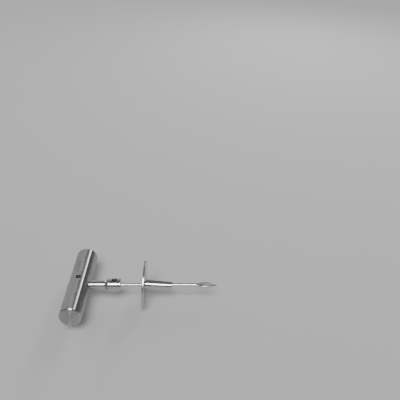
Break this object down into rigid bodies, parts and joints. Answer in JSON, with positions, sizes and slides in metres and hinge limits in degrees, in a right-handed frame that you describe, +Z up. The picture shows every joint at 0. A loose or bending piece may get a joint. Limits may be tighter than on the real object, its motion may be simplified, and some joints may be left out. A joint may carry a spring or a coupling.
{
  "type": "tyre plug insertion tool",
  "caption": "T-handled tool with a thin split-eye needle that pushes a string plug into a punctured tyre; a loose collar with a flat disc and tapered sleeve slides on the needle.",
  "frame": {"origin": "where the axis of the cross bar crosses the axis of the needle", "axes": "+X along the needle towards its tip, +Y along the cross bar, +Z up, the way the set screws face"},
  "size_m": [0.1487, 0.0952, 0.0486],
  "materials": {
    "turned_bar": "satin, fine turning marks",
    "plated_shank": "polished",
    "black_screw": "black oxide, satin",
    "bright_needle": "bright drawn",
    "plated_disc": "bright, lightly scuffed",
    "plated_sleeve": "polished"
  },
  "bodies": {
    "handle": {"handle_bar": "turned_bar", "shank": "plated_shank", "handle_set_screw": "black_screw"},
    "needle_screw": {"needle_set_screw": "black_screw"},
    "needle": {"needle": "bright_needle"},
    "collar": {"collar_disc": "plated_disc", "collar_sleeve": "plated_sleeve"}
  },
  "joints": [
    {"name": "needle_screw_turn", "type": "hinge", "parent": "handle", "child": "needle_screw", "pos_m": [0.0357, 0, 0.003], "axis": [0, 0, 1], "range_deg": [0, 720]},
    {"name": "needle_draw", "type": "slide", "parent": "handle", "child": "needle", "axis": [1, 0, 0], "range_m": [0, 0.012]},
    {"name": "collar_slide", "type": "slide", "parent": "needle", "child": "collar", "axis": [1, 0, 0], "range_m": [-0.0214, 0.021]}
  ]
}
